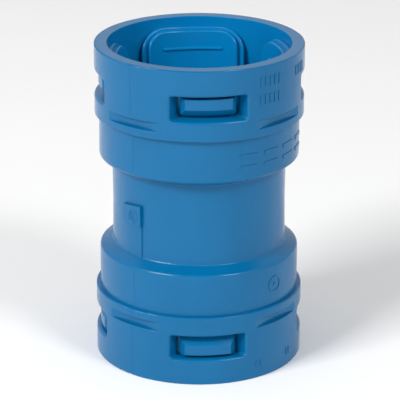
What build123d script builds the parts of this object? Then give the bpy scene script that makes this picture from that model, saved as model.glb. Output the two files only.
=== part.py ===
from build123d import *
import os
from math import sqrt

# Push fit coupling for 3/4 in corrugated conduit: one moulded body and eight hinged grip clips.
# Millimetres, +Z up, origin at the middle of the lower rim. The front of the part faces -Y.
# Depths "from the mouth" are measured along the axis from the rim face of that end.

# ---- Driving dimensions ----
HEIGHT = 56.6
COLLAR_R = 18.2
SOCKET_R = 17.45
NECK_R = 15.1
NECK_DRAFT = 0.1
MOUTH_R = 16.0
NECK_BORE_R = 13.6
STOP_R = 12.4
STOP_WIDTH = 2.0

# Depths from the mouth
COLLAR_DEPTH = 12.45
SHOULDER_DEPTH = 19.92
NECK_DEPTH = 21.0
SOCKET_BORE_DEPTH = 17.4
NECK_BORE_DEPTH = 19.5

# Small edge rounds
RIM_ROUND = 0.2
RIM_INNER_ROUND = 0.1
COLLAR_ROUND = 0.2
SHOULDER_ROUND = 0.65
CREASE_ROUND = 0.4

# Windows and clips sit at the same four places round both ends
WINDOW_AZIMUTH = 5.4
SIDES = ("front", "right", "back", "left")
FRAME_WIDTH = 13.4
FRAME_TOP = 4.6
FRAME_BOTTOM = 8.95
FRAME_DEPTH = 2.1
FRAME_ROUND = 0.5
FRAME_CORNER = 0.5
OPENING_WIDTH = 10.6
OPENING_TOP = 4.72
OPENING_BOTTOM = 8.65
OPENING_CORNER = 0.9

# Lens-shaped relief grooves, cut midway between the windows
GROOVE_TOP = 9.45
GROOVE_BOTTOM = 11.0
GROOVE_DEPTH = 0.85
GROOVE_ROUND = 0.12

# Clips
CLIP_TOP = 1.85
CLIP_END = 14.5
CLIP_OUTER_R = 15.75
CLIP_BASE_R = 15.05
CLIP_PAD_R = 14.1
BASE_HALF_WIDTH = 9.15
BASE_CORNER = 4.2
BASE_END_CORNER = 2.5
BASE_ROUND = 0.28
PAD_HALF_WIDTH = 7.97
PAD_TOP = 2.4
PAD_CORNER = 3.0
PAD_END_CORNER = 1.8
PAD_ROUND = 0.32
CLIP_LEAN = 7.5
RIB_DEPTH = 5.55
RIB_LENGTH = 10.4
RIB_HEIGHT = 0.3
RIB_WIDTH = 0.45
TOOTH_DEPTHS = (10.6, 12.6)

# Hinge of a clip: a round bead in a seat in the wall
HINGE_R = 16.15
HINGE_DEPTH = 3.1
BEAD_R = 0.5
BEAD_LENGTH = 5.0
SEAT_GAP = 0.06
SEAT_END_GAP = 0.3
WEB_THICKNESS = 0.6

# Release block in the window, sized as the clip rests
BLOCK_WIDTH = 9.3
BLOCK_TOP = 5.1
BLOCK_CREST_END = 7.0
BLOCK_BOTTOM = 8.3
BLOCK_R = 17.5
BLOCK_RAMP_R = 16.3
BLOCK_ROUND = 0.2
BLOCK_CHAMFER = 0.65
BLOCK_CHAMFER_DROP = 0.9
BLOCK_CORNER = 0.5

# Moulded marks. A parting line stops this far short of a groove or an edge
GATE_AZIMUTH = -40.0
GATE_WIDTH = 4.4
GATE_TOP = 2.2
GATE_BOTTOM = -1.6
GATE_HEIGHT = 0.5
GATE_TILT = 6.0
DIMPLE_AZIMUTH = -46.3
DIMPLE_Z = 0.0
DIMPLE_R = 1.25
DIMPLE_DEPTH = 0.45
STRIP_WIDTH = 3.6
STRIP_HEIGHT = 0.14
PARTING_AZIMUTH = -40.0
PARTING_WIDTH = 0.22
PARTING_HEIGHT = 0.03
PARTING_GAP = 0.25
MARK_HEIGHT = 0.12
# Rows of raised bars: wall radius, height of lower edge, bar height and width, first azimuth, step, count
BAR_ROWS = (
    (COLLAR_R, HEIGHT - 3.7, 1.8, 0.5, 35.0, 3.2, 5),
    (COLLAR_R, HEIGHT - 6.8, 1.8, 0.5, 35.0, 3.2, 5),
    (COLLAR_R, HEIGHT - 3.7, 1.8, 0.5, 64.5, 3.2, 4),
    (SOCKET_R, HEIGHT - 16.0, 0.7, 3.6, 29.0, 16.0, 4),
    (SOCKET_R, HEIGHT - 18.0, 0.7, 3.6, 29.0, 16.0, 4),
    (COLLAR_R, 2.1, 1.2, 0.4, 34.0, 2.6, 2),
    (COLLAR_R, 2.1, 1.2, 0.4, 58.0, 2.6, 2),
)
RING_MARK_AZIMUTH = 49.0
RING_MARK_Z = 16.2
RING_MARK_R = 1.55
RING_MARK_LINE = 0.35

REACH = 25.0
MIDDLE = HEIGHT / 2


# ---- Helpers ----
def ring_sector(outer, inner, low, high):
    """A tube about the Z axis from z = low to z = high."""
    tube = Cylinder(outer, high - low) - Cylinder(inner, high - low)
    return Pos(0, 0, (low + high) / 2) * tube


def facing_slab(width, corner, low, high, near, far):
    """A block that points along -Y, rounded at its two upper corners when corner is given."""
    plate = Pos(0, (low + high) / 2) * Rectangle(width, high - low)
    if corner:
        top = plate.vertices().sort_by(Axis.Y)[-2:]
        plate = fillet(top, corner)
    return extrude(Plane.XZ.offset(near) * plate, far - near)


def at_azimuth(shape, azimuth):
    """Turn a shape built on the front (-Y) to its place round the axis."""
    return Rot(0, 0, azimuth) * shape


def upper(depth):
    """Height of a point that lies this far below the upper mouth."""
    return HEIGHT - depth


# ---- Body ----
def body_profile():
    """Half section of the body, upper half, in the XZ plane."""
    corners = [
        (STOP_R, MIDDLE),
        (STOP_R, MIDDLE + STOP_WIDTH / 2),
        (NECK_BORE_R, MIDDLE + STOP_WIDTH / 2 + 0.6),
        (NECK_BORE_R, upper(NECK_BORE_DEPTH)),
        (MOUTH_R, upper(SOCKET_BORE_DEPTH)),
        (MOUTH_R, HEIGHT),
        (COLLAR_R, HEIGHT),
        (COLLAR_R, upper(COLLAR_DEPTH)),
        (SOCKET_R, upper(COLLAR_DEPTH)),
        (SOCKET_R, upper(SHOULDER_DEPTH)),
        (NECK_R + NECK_DRAFT, upper(NECK_DEPTH)),
        (NECK_R, MIDDLE),
    ]
    section = make_face(Polyline(*corners, close=True))

    rounds = {
        (COLLAR_R, HEIGHT): RIM_ROUND,
        (MOUTH_R, HEIGHT): RIM_INNER_ROUND,
        (COLLAR_R, upper(COLLAR_DEPTH)): COLLAR_ROUND,
        (SOCKET_R, upper(SHOULDER_DEPTH)): SHOULDER_ROUND,
        (NECK_R + NECK_DRAFT, upper(NECK_DEPTH)): CREASE_ROUND,
        (MOUTH_R, upper(SOCKET_BORE_DEPTH)): CREASE_ROUND,
        (NECK_BORE_R, upper(NECK_BORE_DEPTH)): CREASE_ROUND,
    }
    for (x, y), radius in rounds.items():
        corner = section.vertices().sort_by_distance((x, y, 0))[0]
        section = fillet(corner, radius)
    return section


def body_blank():
    half = revolve(Plane.XZ * body_profile(), Axis.Z)
    return half + mirror(half, Plane.XY.offset(MIDDLE))


def frame_pocket():
    """The bevelled pocket round a window: coned above and below, sloping planes at its sides."""
    floor_r = COLLAR_R - FRAME_DEPTH
    beyond_r = COLLAR_R + 1.0
    top_slope = (OPENING_TOP - FRAME_TOP) / FRAME_DEPTH
    bottom_slope = (FRAME_BOTTOM - OPENING_BOTTOM) / FRAME_DEPTH
    section = Polyline(
        (floor_r, upper(OPENING_TOP)),
        (beyond_r, upper(OPENING_TOP - top_slope * (beyond_r - floor_r))),
        (beyond_r, upper(OPENING_BOTTOM + bottom_slope * (beyond_r - floor_r))),
        (floor_r, upper(OPENING_BOTTOM)),
        close=True,
    )
    bevels = revolve(Plane.XZ * make_face(section), Axis.Z)

    inner_side = OPENING_WIDTH / 2
    inner_depth = sqrt(floor_r**2 - inner_side**2)
    outer_side = FRAME_WIDTH / 2
    outer_depth = sqrt(COLLAR_R**2 - outer_side**2)
    slope = (outer_depth - inner_depth) / (outer_side - inner_side)
    far_side = inner_side + 2.2 * (outer_side - inner_side)
    far_depth = inner_depth + slope * (far_side - inner_side)
    outline = Polyline(
        (-far_side, -far_depth),
        (-inner_side, -inner_depth),
        (inner_side, -inner_depth),
        (far_side, -far_depth),
        (far_side, -REACH),
        (-far_side, -REACH),
        close=True,
    )
    sides = extrude(Plane.XY.offset(upper(FRAME_BOTTOM + 2)) * make_face(outline), 10)
    pocket = bevels & sides

    def is_corner(edge):
        span = (edge @ 1) - (edge @ 0)
        return abs((edge @ 0.5).X) > inner_side and abs(span.X) > 0.5 and abs(span.Y) > 0.5

    return fillet(pocket.edges().filter_by(is_corner), FRAME_CORNER)


def window_cut():
    """The opening through the wall, rounded at its lower corners, with its bevelled frame."""
    height = OPENING_BOTTOM - OPENING_TOP
    plate = Pos(0, upper(OPENING_BOTTOM) + height / 2) * Rectangle(OPENING_WIDTH, height)
    plate = fillet(plate.vertices().sort_by(Axis.Y)[:2], OPENING_CORNER)
    through = extrude(Plane.XZ.offset(MOUTH_R - 4) * plate, REACH)
    return frame_pocket() + through


def groove_cut():
    """A flat-bottomed saw cut across the collar, deepest in its middle."""
    floor_plane = COLLAR_R - GROOVE_DEPTH
    return facing_slab(2 * COLLAR_R, 0, upper(GROOVE_BOTTOM), upper(GROOVE_TOP), floor_plane, REACH)


def hinge_seat_cut():
    length = BEAD_LENGTH + 2 * SEAT_END_GAP
    seat = Rot(0, 90, 0) * Cylinder(BEAD_R + SEAT_GAP, length)
    return Pos(0, -HINGE_R, upper(HINGE_DEPTH)) * seat


def body_end_cuts():
    cuts = []
    for index in range(len(SIDES)):
        azimuth = WINDOW_AZIMUTH + 90 * index
        cuts.append(at_azimuth(window_cut(), azimuth))
        cuts.append(at_azimuth(hinge_seat_cut(), azimuth))
        cuts.append(at_azimuth(groove_cut(), azimuth + 45))
    return cuts


def neck_patch(width, low, high, height, tilt):
    """A raised patch on the neck, whose right edge lies on the parting line."""
    plate = Pos(-width / 2, (low + high) / 2) * Rectangle(width, high - low)
    if tilt:
        plate = plate - Pos(0, high) * Rot(0, 0, tilt) * Pos(0, 5) * Rectangle(4 * width, 10)
    slab = extrude(Plane.XZ.offset(NECK_R - 2) * plate, REACH)
    skin = ring_sector(NECK_R + NECK_DRAFT + height, NECK_R - 0.5, low - 1, high + 1)
    return at_azimuth(slab & skin, GATE_AZIMUTH)


def gate_pad():
    """The raised pad where the mould was filled, the fainter strip below it, and the gate's dimple.

    The strip starts just inside the lower crease, which is NECK_DEPTH above the lower rim.
    """
    pad = neck_patch(GATE_WIDTH, MIDDLE + GATE_BOTTOM, MIDDLE + GATE_TOP, GATE_HEIGHT, GATE_TILT)
    strip = neck_patch(STRIP_WIDTH, NECK_DEPTH - 0.3, MIDDLE + GATE_BOTTOM + 0.2, STRIP_HEIGHT, 0)
    sphere_r = (DIMPLE_R**2 + DIMPLE_DEPTH**2) / (2 * DIMPLE_DEPTH)
    face_r = NECK_R + NECK_DRAFT + GATE_HEIGHT
    dimple = Pos(0, -(face_r - DIMPLE_DEPTH + sphere_r), MIDDLE + DIMPLE_Z) * Sphere(sphere_r)
    return pad + strip - at_azimuth(dimple, DIMPLE_AZIMUTH)


def on_wall(outline, radius, azimuth):
    """Raise a flat outline, drawn in the front plane, slightly above a round wall."""
    stamp = extrude(Plane.XZ.offset(radius - 2) * outline, REACH)
    skin = ring_sector(radius + MARK_HEIGHT, radius - 0.4, 0, HEIGHT)
    return [at_azimuth(piece, azimuth) for piece in (stamp & skin).solids()]


def raised_marks():
    """Plain raised marks: rows of bars, and a ring with a dot in it."""
    marks = []
    for radius, low, height, width, first, step, count in BAR_ROWS:
        bar = Pos(0, low + height / 2) * RectangleRounded(width, height, min(width, height) / 2.5)
        for index in range(count):
            marks += on_wall(bar, radius, first + step * index)

    ring = Circle(RING_MARK_R) - Circle(RING_MARK_R - RING_MARK_LINE) + Circle(RING_MARK_LINE)
    marks += on_wall(Pos(0, RING_MARK_Z) * ring, SOCKET_R, RING_MARK_AZIMUTH)
    return marks


def parting_lines():
    """The faint flash lines where the two halves of the mould met, broken at the grooves."""
    bands = [
        (COLLAR_R, RIM_ROUND, GROOVE_TOP - PARTING_GAP),
        (COLLAR_R, GROOVE_BOTTOM + PARTING_GAP, COLLAR_DEPTH - COLLAR_ROUND),
        (SOCKET_R, COLLAR_DEPTH - COLLAR_ROUND, SHOULDER_DEPTH - SHOULDER_ROUND),
    ]
    lines = []
    for radius, top, bottom in bands:
        skin = ring_sector(radius + PARTING_HEIGHT, radius - 0.3, upper(bottom), upper(top))
        line = facing_slab(PARTING_WIDTH, 0, upper(bottom), upper(top), radius - 2, REACH) & skin
        for azimuth in (PARTING_AZIMUTH, PARTING_AZIMUTH + 180):
            placed = at_azimuth(line, azimuth)
            lines += [placed, mirror(placed, Plane.XY.offset(MIDDLE))]
    return lines


def on_collar(edge, low, high):
    """Whether an edge lies on the collar's outer face, between two depths from a mouth."""
    for step in range(5):
        point = edge @ (step / 4)
        depth = min(point.Z, HEIGHT - point.Z)
        if abs(sqrt(point.X**2 + point.Y**2) - COLLAR_R) > 0.01 or not low < depth < high:
            return False
    return True


def coupling_body():
    body = body_blank()
    cuts = body_end_cuts()
    body = body - cuts
    body = body - [mirror(cut, Plane.XY.offset(MIDDLE)) for cut in cuts]
    frame_edges = [e for e in body.edges() if on_collar(e, FRAME_TOP - 1, FRAME_BOTTOM + 0.3)]
    body = fillet(frame_edges, FRAME_ROUND)
    groove_edges = [e for e in body.edges() if on_collar(e, GROOVE_TOP - 0.1, GROOVE_BOTTOM + 0.1)]
    body = fillet(groove_edges, GROOVE_ROUND)
    return body + parting_lines() + gate_pad() + raised_marks()


# ---- Clips ----
def leaf_layer(half_width, corner, end_corner, top, inner, outer, edge_round):
    """A curved layer of a clip with rounded corners, its inner face's edge rounded over."""
    low = upper(CLIP_END)
    high = upper(top)
    plate = Pos(0, (low + high) / 2) * Rectangle(2 * half_width, high - low)
    heights = plate.vertices().sort_by(Axis.Y)
    plate = fillet(heights[-2:], corner)
    plate = fillet(plate.vertices().sort_by(Axis.Y)[:2], end_corner)
    layer = extrude(Plane.XZ.offset(5) * plate, REACH) & ring_sector(outer, inner, low - 1, HEIGHT)
    walls = layer.faces().filter_by(GeomType.CYLINDER)
    inner_wall = [face for face in walls if abs(face.radius - inner) < 0.001][0]
    return fillet(inner_wall.edges(), edge_round)


def clip_leaf():
    """The curved leaf of a clip as it stands when pushed right out, concentric with the bore."""
    base = leaf_layer(
        BASE_HALF_WIDTH, BASE_CORNER, BASE_END_CORNER, CLIP_TOP, CLIP_BASE_R, CLIP_OUTER_R, BASE_ROUND
    )
    pad = leaf_layer(
        PAD_HALF_WIDTH, PAD_CORNER, PAD_END_CORNER, PAD_TOP, CLIP_PAD_R, CLIP_BASE_R + 0.2, PAD_ROUND
    )
    return base + pad


def clip_rib(depth, length):
    """A gripping ridge across the pad, steep on its mouth side and sloped on the other."""
    section = Polyline(
        (CLIP_PAD_R + 0.2, upper(depth) + RIB_WIDTH / 2),
        (CLIP_PAD_R, upper(depth) + RIB_WIDTH / 2),
        (CLIP_PAD_R - RIB_HEIGHT, upper(depth) - RIB_WIDTH * 0.1),
        (CLIP_PAD_R - RIB_HEIGHT, upper(depth) - RIB_WIDTH / 2),
        (CLIP_PAD_R + 0.2, upper(depth) - RIB_WIDTH / 2),
        close=True,
    )
    ring = revolve(Plane.XZ * make_face(section), Axis.Z)
    trim = facing_slab(length, 0, upper(depth) - 1, upper(depth) + 1, 5, REACH)
    return ring & trim


def clip_hinge():
    bead = Pos(0, -HINGE_R, upper(HINGE_DEPTH)) * (Rot(0, 90, 0) * Cylinder(BEAD_R, BEAD_LENGTH))
    web = facing_slab(
        BEAD_LENGTH,
        0,
        upper(HINGE_DEPTH) - WEB_THICKNESS / 2,
        upper(HINGE_DEPTH) + WEB_THICKNESS / 2,
        CLIP_BASE_R + 0.1,
        HINGE_R,
    )
    return bead + web


def release_block():
    """The block that fills the window: a crest beside the mouth and a ramp down into the gap."""
    root = CLIP_BASE_R - 0.2
    profile = make_face(
        Polyline(
            (root, upper(BLOCK_TOP)),
            (BLOCK_R, upper(BLOCK_TOP)),
            (BLOCK_R, upper(BLOCK_CREST_END)),
            (BLOCK_RAMP_R, upper(BLOCK_BOTTOM)),
            (root, upper(BLOCK_BOTTOM)),
            close=True,
        )
    )
    for radius, depth in ((BLOCK_R, BLOCK_TOP), (BLOCK_R, BLOCK_CREST_END)):
        corner = profile.vertices().sort_by_distance((radius, upper(depth), 0))[0]
        profile = fillet(corner, BLOCK_ROUND)
    ring = revolve(Plane.XZ * profile, Axis.Z)

    side = BLOCK_WIDTH / 2
    crest_side = side - BLOCK_CHAMFER
    crest = sqrt(BLOCK_R**2 - crest_side**2)
    shoulder = sqrt(BLOCK_R**2 - side**2) - BLOCK_CHAMFER_DROP
    outline = Polyline(
        (-side, 0),
        (side, 0),
        (side, -shoulder),
        (crest_side, -crest),
        (crest_side, -REACH),
        (-crest_side, -REACH),
        (-crest_side, -crest),
        (-side, -shoulder),
        close=True,
    )
    trim = extrude(Plane.XY.offset(upper(BLOCK_BOTTOM + 1)) * make_face(outline), 6)

    front = Pos(0, upper(BLOCK_BOTTOM) + 2.5) * Rectangle(BLOCK_WIDTH, 5)
    front = fillet(front.vertices().sort_by(Axis.Y)[:2], BLOCK_CORNER)
    return ring & trim & extrude(Plane.XZ.offset(root - 3) * front, REACH)


def front_clip():
    """An upper clip on the front, leaning inwards as it rests."""
    straight = clip_leaf() + clip_rib(RIB_DEPTH, RIB_LENGTH)
    for depth in TOOTH_DEPTHS:
        straight = straight + clip_rib(depth, RIB_LENGTH)
    pivot = Pos(0, -HINGE_R, upper(HINGE_DEPTH))
    leaned = pivot * Rot(CLIP_LEAN, 0, 0) * pivot.inverse() * straight
    return leaned + release_block() + clip_hinge()


# ---- Write the parts ----
def main():
    os.makedirs("parts", exist_ok=True)
    nodes = {"coupling_body": coupling_body()}
    clip = front_clip()
    for index, side in enumerate(SIDES):
        placed = at_azimuth(clip, WINDOW_AZIMUTH + 90 * index)
        nodes[f"upper_{side}_clip"] = placed
        nodes[f"lower_{side}_clip"] = mirror(placed, Plane.XY.offset(MIDDLE))
    for name, shape in nodes.items():
        solids = shape.solids()
        print(name, len(solids), round(shape.volume, 2))
        export_step(solids[0] if len(solids) == 1 else Compound(solids), f"parts/{name}.step")


main()
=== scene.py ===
import math

import bpy
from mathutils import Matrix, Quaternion, Vector


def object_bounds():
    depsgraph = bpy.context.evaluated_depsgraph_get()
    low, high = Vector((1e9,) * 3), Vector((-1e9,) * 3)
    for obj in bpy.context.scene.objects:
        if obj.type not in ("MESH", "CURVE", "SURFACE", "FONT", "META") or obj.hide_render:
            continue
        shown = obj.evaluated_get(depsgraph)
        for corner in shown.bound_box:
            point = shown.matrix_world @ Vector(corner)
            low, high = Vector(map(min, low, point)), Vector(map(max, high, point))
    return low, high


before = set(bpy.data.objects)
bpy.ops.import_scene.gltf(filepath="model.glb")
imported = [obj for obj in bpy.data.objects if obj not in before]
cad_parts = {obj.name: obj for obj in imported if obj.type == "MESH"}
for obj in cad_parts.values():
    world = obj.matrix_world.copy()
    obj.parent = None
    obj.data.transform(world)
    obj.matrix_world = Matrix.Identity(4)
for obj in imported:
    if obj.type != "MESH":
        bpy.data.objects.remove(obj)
cad_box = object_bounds()

# ---- Driving values, in metres unless they say otherwise ----
LOW, HIGH = (Vector(corner) for corner in cad_box)
CENTRE = (LOW + HIGH) / 2
RIM_RADIUS = (HIGH.x - LOW.x) / 2

CAMERA_ELEVATION = math.radians(19.98)
CAMERA_DISTANCE = 22.61 * RIM_RADIUS
CAMERA_LENS_MM = 210.0
CAMERA_SHIFT = (0.0026, -0.0115)
CAMERA_ROLL = 0.003

BLUE_DEEP = (0.0003, 0.117, 0.285)
BLUE_PALE = (0.0006, 0.128, 0.309)
PLASTIC_IOR = 1.355
# Within this radius, and beyond this height from the middle, the colour is brightened by this gain: painted
# light standing in for the light that reaches inside the sockets
INSIDE_RADIUS = 0.01602
INSIDE_HEIGHT = 0.0105
INSIDE_PAINTED_LIGHT_GAIN = 1.42

# Softboxes: name, azimuth and elevation in degrees, width, height, radiance
LIGHT_DISTANCE = 0.9
SOFTBOXES = (
    ("softbox_left", -49.0, 38.0, 0.34, 0.20, 28.0),
    ("softbox_right", 43.0, 42.0, 0.21, 0.20, 19.0),
)
# The dome's radiance at the horizon and overhead, and the heights (sine of elevation) it fades between
DOME_HORIZON = 0.71
DOME_OVERHEAD = 0.03
DOME_FADE = (0.72, 0.9)


# ---- Camera ----
def make_camera():
    data = bpy.data.cameras.new("photo_camera")
    data.lens = CAMERA_LENS_MM
    data.sensor_width = 36.0
    data.shift_x, data.shift_y = CAMERA_SHIFT
    data.clip_start = 0.01
    data.clip_end = 50.0
    camera = bpy.data.objects.new("photo_camera", data)
    bpy.context.scene.collection.objects.link(camera)
    away = Vector((0, -math.cos(CAMERA_ELEVATION), math.sin(CAMERA_ELEVATION)))
    camera.location = CENTRE + away * CAMERA_DISTANCE
    aim = (-away).to_track_quat("-Z", "Y")
    roll = Quaternion((0, 0, 1), CAMERA_ROLL)
    camera.rotation_euler = (aim @ roll).to_euler()
    bpy.context.scene.camera = camera


# ---- Materials ----
def new_material(name):
    material = bpy.data.materials.new(name)
    material.use_nodes = True
    nodes = material.node_tree.nodes
    nodes.clear()
    output = nodes.new("ShaderNodeOutputMaterial")
    shader = nodes.new("ShaderNodeBsdfPrincipled")
    material.node_tree.links.new(shader.outputs["BSDF"], output.inputs["Surface"])
    return material, nodes, material.node_tree.links, shader


def noise(nodes, links, place, stretch, scale, detail):
    """A noise whose features are 1/scale metres across, stretched along the part's axis."""
    mapping = nodes.new("ShaderNodeMapping")
    mapping.inputs["Scale"].default_value = (1, 1, 1 / stretch)
    links.new(place.outputs["Object"], mapping.inputs["Vector"])
    texture = nodes.new("ShaderNodeTexNoise")
    texture.inputs["Scale"].default_value = scale
    texture.inputs["Detail"].default_value = detail
    links.new(mapping.outputs["Vector"], texture.inputs["Vector"])
    return texture.outputs["Fac"]


def ramp(nodes, links, value, start, end, low, high):
    """Map a value smoothly from start..end to low..high, flat outside that range."""
    ranged = nodes.new("ShaderNodeMapRange")
    ranged.interpolation_type = "SMOOTHSTEP"
    ranged.inputs["From Min"].default_value = start
    ranged.inputs["From Max"].default_value = end
    ranged.inputs["To Min"].default_value = low
    ranged.inputs["To Max"].default_value = high
    links.new(value, ranged.inputs["Value"])
    return ranged.outputs["Result"]


def bump(nodes, links, height, distance):
    """A bump of the given height in metres."""
    node = nodes.new("ShaderNodeBump")
    node.inputs["Strength"].default_value = 1.0
    node.inputs["Distance"].default_value = distance
    links.new(height, node.inputs["Height"])
    return node.outputs["Normal"]


def distance_from_axis(nodes, links, place):
    """How far a point is from the part's axis."""
    flat = nodes.new("ShaderNodeVectorMath")
    flat.operation = "MULTIPLY"
    flat.inputs[1].default_value = (1, 1, 0)
    links.new(place.outputs["Object"], flat.inputs[0])
    radius = nodes.new("ShaderNodeVectorMath")
    radius.operation = "LENGTH"
    links.new(flat.outputs["Vector"], radius.inputs[0])
    return radius.outputs["Value"]


def distance_from_middle(nodes, links, place):
    """How far a point is above or below the part's middle."""
    parts = nodes.new("ShaderNodeSeparateXYZ")
    links.new(place.outputs["Object"], parts.inputs["Vector"])
    above = nodes.new("ShaderNodeMath")
    above.operation = "SUBTRACT"
    above.inputs[1].default_value = CENTRE.z
    links.new(parts.outputs["Z"], above.inputs[0])
    away = nodes.new("ShaderNodeMath")
    away.operation = "ABSOLUTE"
    links.new(above.outputs["Value"], away.inputs[0])
    return away.outputs["Value"]


def painted_light_inside(nodes, links, place, colour):
    """Brighten a colour with painted light on the surfaces that face the two sockets, standing in for the
    light that reaches inside them.
    """
    radius = distance_from_axis(nodes, links, place)
    height = distance_from_middle(nodes, links, place)
    both = nodes.new("ShaderNodeMath")
    both.operation = "MULTIPLY"
    links.new(ramp(nodes, links, radius, INSIDE_RADIUS, INSIDE_RADIUS + 0.0001, 1.0, 0.0), both.inputs[0])
    links.new(ramp(nodes, links, height, INSIDE_HEIGHT, INSIDE_HEIGHT + 0.001, 0.0, 1.0), both.inputs[1])
    scaled = nodes.new("ShaderNodeVectorMath")
    scaled.operation = "SCALE"
    links.new(colour, scaled.inputs[0])
    links.new(ramp(nodes, links, both.outputs["Value"], 0.0, 1.0, 1.0, INSIDE_PAINTED_LIGHT_GAIN), scaled.inputs["Scale"])
    return scaled.outputs["Vector"]


def moulded_plastic(name, deep, pale, rough_low, rough_high):
    """Satin moulded plastic: clouded pigment, painted light inside the sockets, drawn-out polish marks and
    a fine skin.
    """
    material, nodes, links, shader = new_material(name)
    place = nodes.new("ShaderNodeTexCoord")

    pigment = nodes.new("ShaderNodeValToRGB")
    pigment.color_ramp.interpolation = "EASE"
    pigment.color_ramp.elements[0].position = 0.2
    pigment.color_ramp.elements[0].color = (*deep, 1)
    pigment.color_ramp.elements[1].position = 0.8
    pigment.color_ramp.elements[1].color = (*pale, 1)
    links.new(noise(nodes, links, place, 1.5, 110.0, 3.0), pigment.inputs["Fac"])
    # The pigment is brightened on the surfaces inside the sockets: painted light, not a paler moulding.
    links.new(painted_light_inside(nodes, links, place, pigment.outputs["Color"]), shader.inputs["Base Color"])

    polish = noise(nodes, links, place, 2.0, 260.0, 2.0)
    links.new(ramp(nodes, links, polish, 0.2, 0.8, rough_low, rough_high), shader.inputs["Roughness"])

    skin = noise(nodes, links, place, 1.0, 2600.0, 2.0)
    links.new(bump(nodes, links, skin, 0.0000012), shader.inputs["Normal"])

    shader.inputs["IOR"].default_value = PLASTIC_IOR
    return material


def assign(node, material):
    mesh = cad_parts[node].data
    mesh.materials.clear()
    mesh.materials.append(material)


# ---- Surroundings ----
def make_floor():
    bpy.ops.mesh.primitive_plane_add(size=6.0, location=(0, 0, LOW.z))
    floor = bpy.context.object
    floor.name = "pale_floor"
    material, _, _, shader = new_material("pale_floor")
    shader.inputs["Base Color"].default_value = (0.95, 0.95, 0.95, 1)
    shader.inputs["Roughness"].default_value = 0.9
    floor.data.materials.append(material)


def softbox(name, azimuth, elevation, width, height, radiance):
    """A rectangular light at LIGHT_DISTANCE, its azimuth measured from the front towards the right."""
    data = bpy.data.lights.new(name, "AREA")
    data.shape = "RECTANGLE"
    data.size = width
    data.size_y = height
    data.energy = radiance * math.pi * width * height
    light = bpy.data.objects.new(name, data)
    bpy.context.scene.collection.objects.link(light)
    turn, lift = math.radians(azimuth), math.radians(elevation)
    towards = Vector((math.sin(turn) * math.cos(lift), -math.cos(turn) * math.cos(lift), math.sin(lift)))
    light.location = CENTRE + towards * LIGHT_DISTANCE
    light.rotation_euler = (-towards).to_track_quat("-Z", "Y").to_euler()


def make_world():
    """A white dome that is bright round the horizon and dim overhead."""
    world = bpy.data.worlds.new("studio")
    bpy.context.scene.world = world
    world.use_nodes = True
    nodes, links = world.node_tree.nodes, world.node_tree.links
    direction = nodes.new("ShaderNodeTexCoord")
    parts = nodes.new("ShaderNodeSeparateXYZ")
    links.new(direction.outputs["Generated"], parts.inputs["Vector"])
    fade = nodes.new("ShaderNodeMapRange")
    fade.interpolation_type = "SMOOTHSTEP"
    fade.inputs["From Min"].default_value = DOME_FADE[0]
    fade.inputs["From Max"].default_value = DOME_FADE[1]
    fade.inputs["To Min"].default_value = DOME_HORIZON
    fade.inputs["To Max"].default_value = DOME_OVERHEAD
    links.new(parts.outputs["Z"], fade.inputs["Value"])
    nodes["Background"].inputs["Color"].default_value = (1, 1, 1, 1)
    links.new(fade.outputs["Result"], nodes["Background"].inputs["Strength"])


make_camera()
body_blue = moulded_plastic("body_blue", BLUE_DEEP, BLUE_PALE, 0.17, 0.27)
clip_blue = moulded_plastic("clip_blue", BLUE_DEEP, BLUE_PALE, 0.16, 0.26)
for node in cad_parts:
    assign(node, body_blue if node == "coupling_body" else clip_blue)
make_floor()
make_world()
for box in SOFTBOXES:
    softbox(*box)

scene = bpy.context.scene
scene.view_settings.view_transform = "Standard"
scene.view_settings.look = "None"
